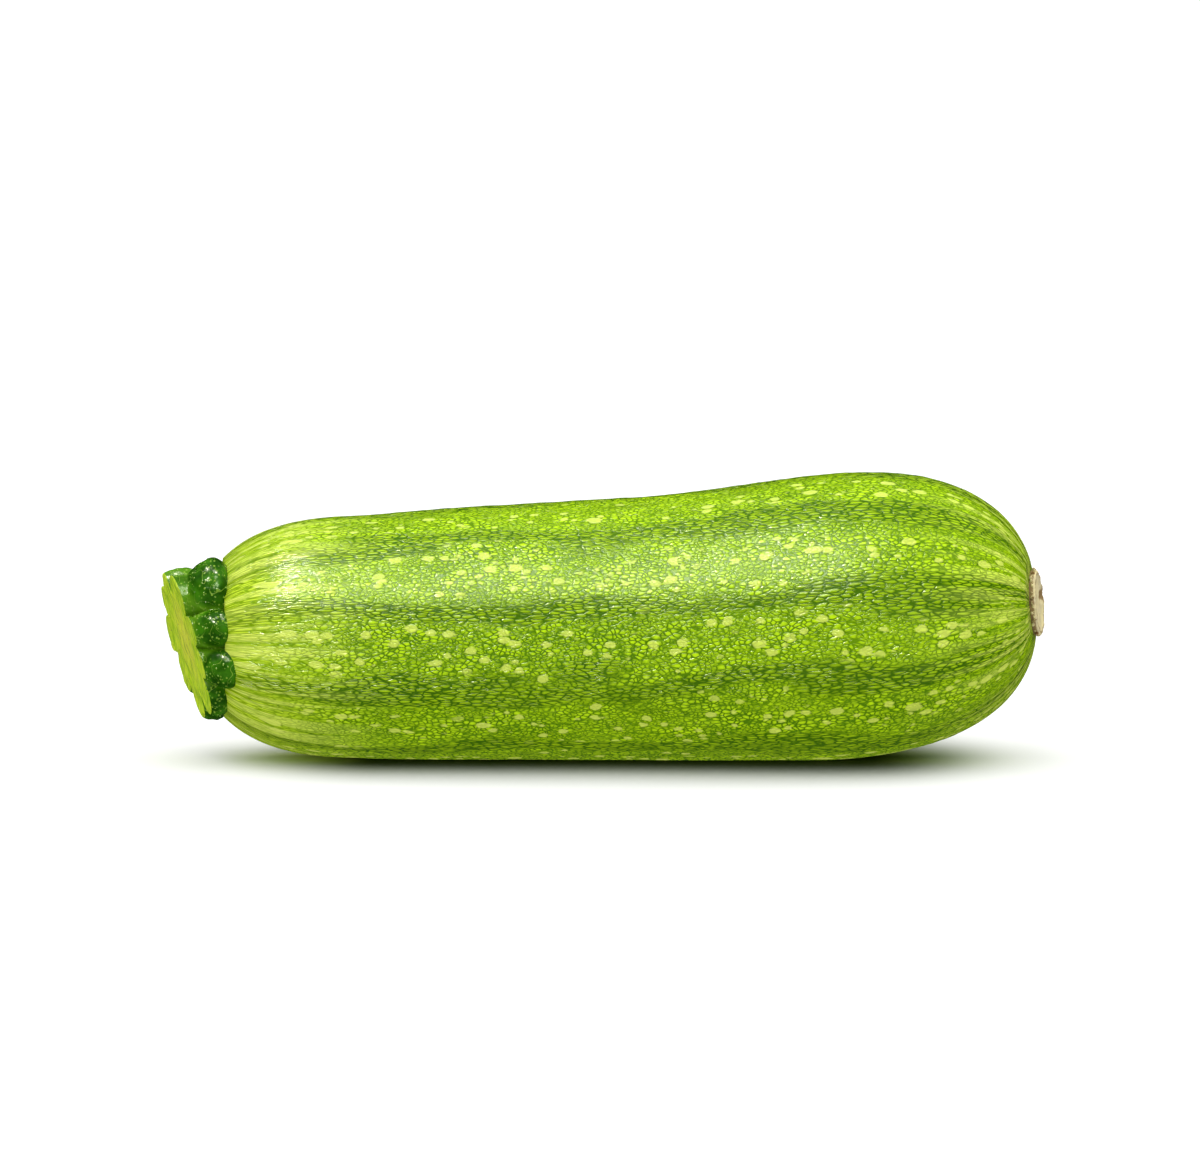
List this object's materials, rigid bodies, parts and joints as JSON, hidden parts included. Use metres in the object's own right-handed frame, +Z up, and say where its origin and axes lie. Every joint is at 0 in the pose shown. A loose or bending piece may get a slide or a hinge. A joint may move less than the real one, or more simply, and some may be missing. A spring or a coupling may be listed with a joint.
{
  "type": "courgette",
  "caption": "Whole pale green courgette lying on its side, with a short cut lobed stem at one end and the dry scar of its flower at the other.",
  "frame": {"origin": "middle of the underside, on the surface that the courgette lies on", "axes": "+X along the fruit from the stem to the flower end, +Z up, the two ends bowed slightly towards -Y"},
  "size_m": [0.1802, 0.0581, 0.0586],
  "materials": {
    "skin": "glossy, mid green with fine pale speckles in bands along the fruit",
    "stem_flesh": "glossy dark green skin, matt yellow-green fibres on the cut",
    "cork": "matt, dry"
  },
  "bodies": {
    "root": {"fruit": "skin", "stem": "stem_flesh", "blossom_scar": "cork"}
  },
  "joints": []
}
